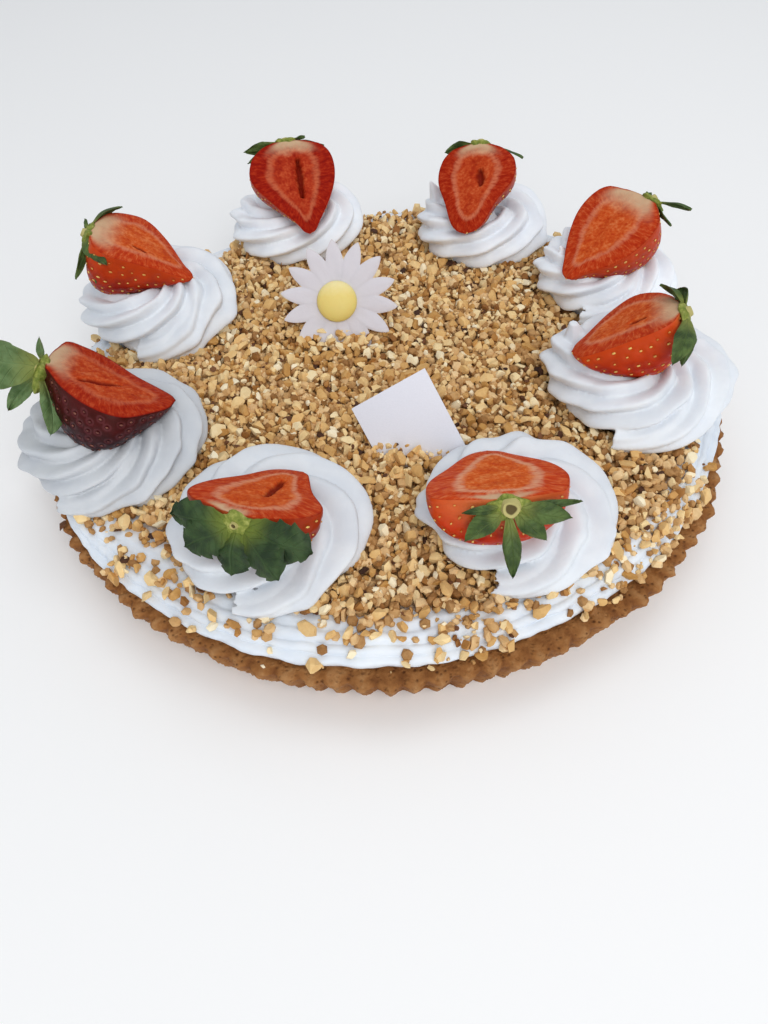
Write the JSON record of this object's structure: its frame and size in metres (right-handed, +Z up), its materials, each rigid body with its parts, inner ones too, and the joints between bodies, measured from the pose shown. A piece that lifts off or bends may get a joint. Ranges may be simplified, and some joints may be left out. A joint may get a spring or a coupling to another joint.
{
  "type": "brazilian cream cake",
  "caption": "Round fluted tart filled with cream, topped with crushed nuts, piped cream swirls that carry half strawberries, a wafer flower and a small blank card.",
  "frame": {"origin": "middle of the flat underside of the crust", "axes": "+Z up, -Y towards the front as pictured, +X to the right"},
  "size_m": [0.2568, 0.2583, 0.0764],
  "materials": {
    "shortcrust": "baked golden brown, rough",
    "cream_and_nuts": "golden crushed nuts on white cream",
    "whipped_cream": "satin white, softly translucent",
    "strawberry": "glossy red skin, moist cut face",
    "strawberry_leaf": "matt green leaf",
    "wafer": "matt off-white wafer",
    "wafer_yellow": "matt yellow wafer",
    "card": "smooth white card"
  },
  "bodies": {
    "root": {"crust": "shortcrust", "cream_layer": "cream_and_nuts", "swirl_1": "whipped_cream", "strawberry_1": "strawberry", "leaves_1": "strawberry_leaf", "swirl_2": "whipped_cream", "strawberry_2": "strawberry", "leaves_2": "strawberry_leaf", "swirl_3": "whipped_cream", "strawberry_3": "strawberry", "leaves_3": "strawberry_leaf", "swirl_4": "whipped_cream", "strawberry_4": "strawberry", "leaves_4": "strawberry_leaf", "swirl_5": "whipped_cream", "strawberry_5": "strawberry", "leaves_5": "strawberry_leaf", "swirl_6": "whipped_cream", "strawberry_6": "strawberry", "leaves_6": "strawberry_leaf", "swirl_7": "whipped_cream", "strawberry_7": "strawberry", "leaves_7": "strawberry_leaf", "swirl_8": "whipped_cream", "strawberry_8": "strawberry", "leaves_8": "strawberry_leaf", "flower_petals": "wafer", "flower_heart": "wafer_yellow", "card": "card"}
  },
  "joints": []
}
